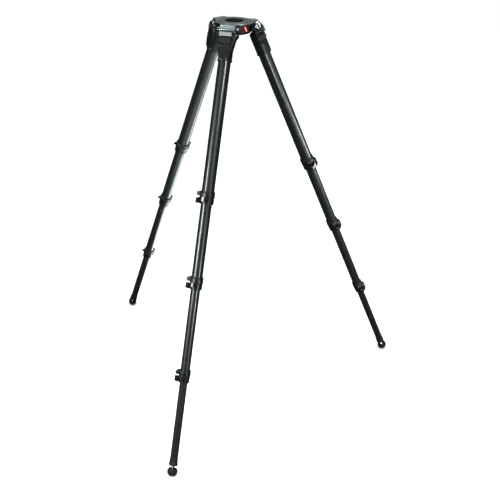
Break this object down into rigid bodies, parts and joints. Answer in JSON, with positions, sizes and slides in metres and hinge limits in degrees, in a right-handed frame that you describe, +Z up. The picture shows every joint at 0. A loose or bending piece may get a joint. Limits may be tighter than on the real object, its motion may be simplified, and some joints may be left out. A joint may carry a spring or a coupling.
{
  "type": "video tripod",
  "caption": "Video tripod standing partly extended: lobed cast crown with a half-ball bowl, and folding legs of nested carbon tubes with flip-lever locks on ball feet.",
  "frame": {"origin": "on the floor, at the middle of the footprint box of the three feet", "axes": "+Z up, -Y towards the front foot, +X towards the right foot"},
  "size_m": [1.131, 0.9846, 1.3409],
  "materials": {
    "crown_metal": "satin grey-green hammered paint on a cast crown",
    "adapter_metal": "satin turned aluminium, dark anodised",
    "badge_red": "gloss moulded plastic",
    "level_black": "matt moulded plastic",
    "level_glass": "clear",
    "plate_metal": "brushed",
    "shoulder_metal": "satin textured paint on a casting",
    "pin_steel": "polished",
    "latch_black": "matt moulded plastic with grip steps",
    "carbon_tube": "satin lacquer over fine carbon weave",
    "collar_black": "satin black casting",
    "lever_gloss": "gloss black moulded plastic",
    "plug_black": "matt moulded plastic",
    "spike_steel": "turned steel",
    "foot_rubber": "matt rubber"
  },
  "bodies": {
    "crown": {"crown_casting": "crown_metal", "badge": "badge_red", "level_body": "level_black", "level_vial": "level_glass"},
    "adapter": {"bowl_adapter": "adapter_metal"},
    "leg_right": {"shoulder_right": "shoulder_metal", "name_plate_right": "plate_metal", "hinge_pin_right": "pin_steel", "tube_1_right": "carbon_tube", "collar_1_right": "collar_black"},
    "latch_right": {"angle_latch_right": "latch_black"},
    "stage_2_right": {"tube_2_right": "carbon_tube", "collar_2_right": "collar_black"},
    "stage_3_right": {"tube_3_right": "carbon_tube", "collar_3_right": "collar_black"},
    "stage_4_right": {"tube_4_right": "carbon_tube", "end_plug_right": "plug_black", "spike_right": "spike_steel"},
    "foot_right": {"rubber_foot_right": "foot_rubber"},
    "lever_1_right": {"lever_1_right": "lever_gloss"},
    "lever_2_right": {"lever_2_right": "lever_gloss"},
    "lever_3_right": {"lever_3_right": "lever_gloss"},
    "leg_left": {"shoulder_left": "shoulder_metal", "name_plate_left": "plate_metal", "hinge_pin_left": "pin_steel", "tube_1_left": "carbon_tube", "collar_1_left": "collar_black"},
    "latch_left": {"angle_latch_left": "latch_black"},
    "stage_2_left": {"tube_2_left": "carbon_tube", "collar_2_left": "collar_black"},
    "stage_3_left": {"tube_3_left": "carbon_tube", "collar_3_left": "collar_black"},
    "stage_4_left": {"tube_4_left": "carbon_tube", "end_plug_left": "plug_black", "spike_left": "spike_steel"},
    "foot_left": {"rubber_foot_left": "foot_rubber"},
    "lever_1_left": {"lever_1_left": "lever_gloss"},
    "lever_2_left": {"lever_2_left": "lever_gloss"},
    "lever_3_left": {"lever_3_left": "lever_gloss"},
    "leg_front": {"shoulder_front": "shoulder_metal", "name_plate_front": "plate_metal", "hinge_pin_front": "pin_steel", "tube_1_front": "carbon_tube", "collar_1_front": "collar_black"},
    "latch_front": {"angle_latch_front": "latch_black"},
    "stage_2_front": {"tube_2_front": "carbon_tube", "collar_2_front": "collar_black"},
    "stage_3_front": {"tube_3_front": "carbon_tube", "collar_3_front": "collar_black"},
    "stage_4_front": {"tube_4_front": "carbon_tube", "end_plug_front": "plug_black", "spike_front": "spike_steel"},
    "foot_front": {"rubber_foot_front": "foot_rubber"},
    "lever_1_front": {"lever_1_front": "lever_gloss"},
    "lever_2_front": {"lever_2_front": "lever_gloss"},
    "lever_3_front": {"lever_3_front": "lever_gloss"}
  },
  "joints": [
    {"name": "adapter_lift", "type": "slide", "parent": "crown", "child": "adapter", "axis": [0, 0, 1], "range_m": [0, 0.06]},
    {"name": "leg_spread_right", "type": "hinge", "parent": "crown", "child": "leg_right", "pos_m": [0.05716, 0.1916, 1.32149], "axis": [0.5, -0.866, 0], "range_deg": [-23.7, 46.7]},
    {"name": "latch_press_right", "type": "slide", "parent": "leg_right", "child": "latch_right", "axis": [0.3484, 0.2011, -0.9155], "range_m": [0, 0.005], "stiffness_N_per_m": 400, "springref_m": -0.005},
    {"name": "tube_2_slide_right", "type": "slide", "parent": "leg_right", "child": "stage_2_right", "axis": [0.3484, 0.2011, -0.9155], "range_m": [-0.232, 0.234]},
    {"name": "tube_3_slide_right", "type": "slide", "parent": "stage_2_right", "child": "stage_3_right", "axis": [0.3484, 0.2011, -0.9155], "range_m": [-0.261, 0.24]},
    {"name": "tube_4_slide_right", "type": "slide", "parent": "stage_3_right", "child": "stage_4_right", "axis": [0.3484, 0.2011, -0.9155], "range_m": [-0.25, 0.28]},
    {"name": "foot_retract_right", "type": "slide", "parent": "stage_4_right", "child": "foot_right", "axis": [-0.3484, -0.2011, 0.9155], "range_m": [0, 0.006]},
    {"name": "lever_1_flip_right", "type": "hinge", "parent": "leg_right", "child": "lever_1_right", "pos_m": [0.25666, 0.27041, 0.8274], "axis": [0.3484, 0.2011, -0.9155], "range_deg": [0, 115]},
    {"name": "lever_2_flip_right", "type": "hinge", "parent": "stage_2_right", "child": "lever_2_right", "pos_m": [0.35104, 0.32779, 0.57609], "axis": [0.3484, 0.2011, -0.9155], "range_deg": [0, 115]},
    {"name": "lever_3_flip_right", "type": "hinge", "parent": "stage_3_right", "child": "lever_3_right", "pos_m": [0.45604, 0.3913, 0.29686], "axis": [0.3484, 0.2011, -0.9155], "range_deg": [0, 115]},
    {"name": "leg_spread_left", "type": "hinge", "parent": "crown", "child": "leg_left", "pos_m": [-0.05716, 0.1916, 1.32149], "axis": [0.5, 0.866, 0], "range_deg": [-23.7, 46.7]},
    {"name": "latch_press_left", "type": "slide", "parent": "leg_left", "child": "latch_left", "axis": [-0.3484, 0.2011, -0.9155], "range_m": [0, 0.005], "stiffness_N_per_m": 400, "springref_m": -0.005},
    {"name": "tube_2_slide_left", "type": "slide", "parent": "leg_left", "child": "stage_2_left", "axis": [-0.3484, 0.2011, -0.9155], "range_m": [-0.232, 0.234]},
    {"name": "tube_3_slide_left", "type": "slide", "parent": "stage_2_left", "child": "stage_3_left", "axis": [-0.3484, 0.2011, -0.9155], "range_m": [-0.261, 0.24]},
    {"name": "tube_4_slide_left", "type": "slide", "parent": "stage_3_left", "child": "stage_4_left", "axis": [-0.3484, 0.2011, -0.9155], "range_m": [-0.25, 0.28]},
    {"name": "foot_retract_left", "type": "slide", "parent": "stage_4_left", "child": "foot_left", "axis": [0.3484, -0.2011, 0.9155], "range_m": [0, 0.006]},
    {"name": "lever_1_flip_left", "type": "hinge", "parent": "leg_left", "child": "lever_1_left", "pos_m": [-0.22516, 0.32497, 0.8274], "axis": [-0.3484, 0.2011, -0.9155], "range_deg": [0, 115]},
    {"name": "lever_2_flip_left", "type": "hinge", "parent": "stage_2_left", "child": "lever_2_left", "pos_m": [-0.32204, 0.37802, 0.57609], "axis": [-0.3484, 0.2011, -0.9155], "range_deg": [0, 115]},
    {"name": "lever_3_flip_left", "type": "hinge", "parent": "stage_3_left", "child": "lever_3_left", "pos_m": [-0.42954, 0.4372, 0.29686], "axis": [-0.3484, 0.2011, -0.9155], "range_deg": [0, 115]},
    {"name": "leg_spread_front", "type": "hinge", "parent": "crown", "child": "leg_front", "pos_m": [0, 0.0926, 1.32149], "axis": [-1, 0, 0], "range_deg": [-23.7, 46.7]},
    {"name": "latch_press_front", "type": "slide", "parent": "leg_front", "child": "latch_front", "axis": [0, -0.4023, -0.9155], "range_m": [0, 0.005], "stiffness_N_per_m": 400, "springref_m": -0.005},
    {"name": "tube_2_slide_front", "type": "slide", "parent": "leg_front", "child": "stage_2_front", "axis": [0, -0.4023, -0.9155], "range_m": [-0.232, 0.234]},
    {"name": "tube_3_slide_front", "type": "slide", "parent": "stage_2_front", "child": "stage_3_front", "axis": [0, -0.4023, -0.9155], "range_m": [-0.261, 0.24]},
    {"name": "tube_4_slide_front", "type": "slide", "parent": "stage_3_front", "child": "stage_4_front", "axis": [0, -0.4023, -0.9155], "range_m": [-0.25, 0.28]},
    {"name": "foot_retract_front", "type": "slide", "parent": "stage_4_front", "child": "foot_front", "axis": [0, 0.4023, 0.9155], "range_m": [0, 0.006]},
    {"name": "lever_1_flip_front", "type": "hinge", "parent": "leg_front", "child": "lever_1_front", "pos_m": [-0.0315, -0.11958, 0.8274], "axis": [0, -0.4023, -0.9155], "range_deg": [0, 115]},
    {"name": "lever_2_flip_front", "type": "hinge", "parent": "stage_2_front", "child": "lever_2_front", "pos_m": [-0.029, -0.23, 0.57609], "axis": [0, -0.4023, -0.9155], "range_deg": [0, 115]},
    {"name": "lever_3_flip_front", "type": "hinge", "parent": "stage_3_front", "child": "lever_3_front", "pos_m": [-0.0265, -0.35269, 0.29686], "axis": [0, -0.4023, -0.9155], "range_deg": [0, 115]}
  ]
}
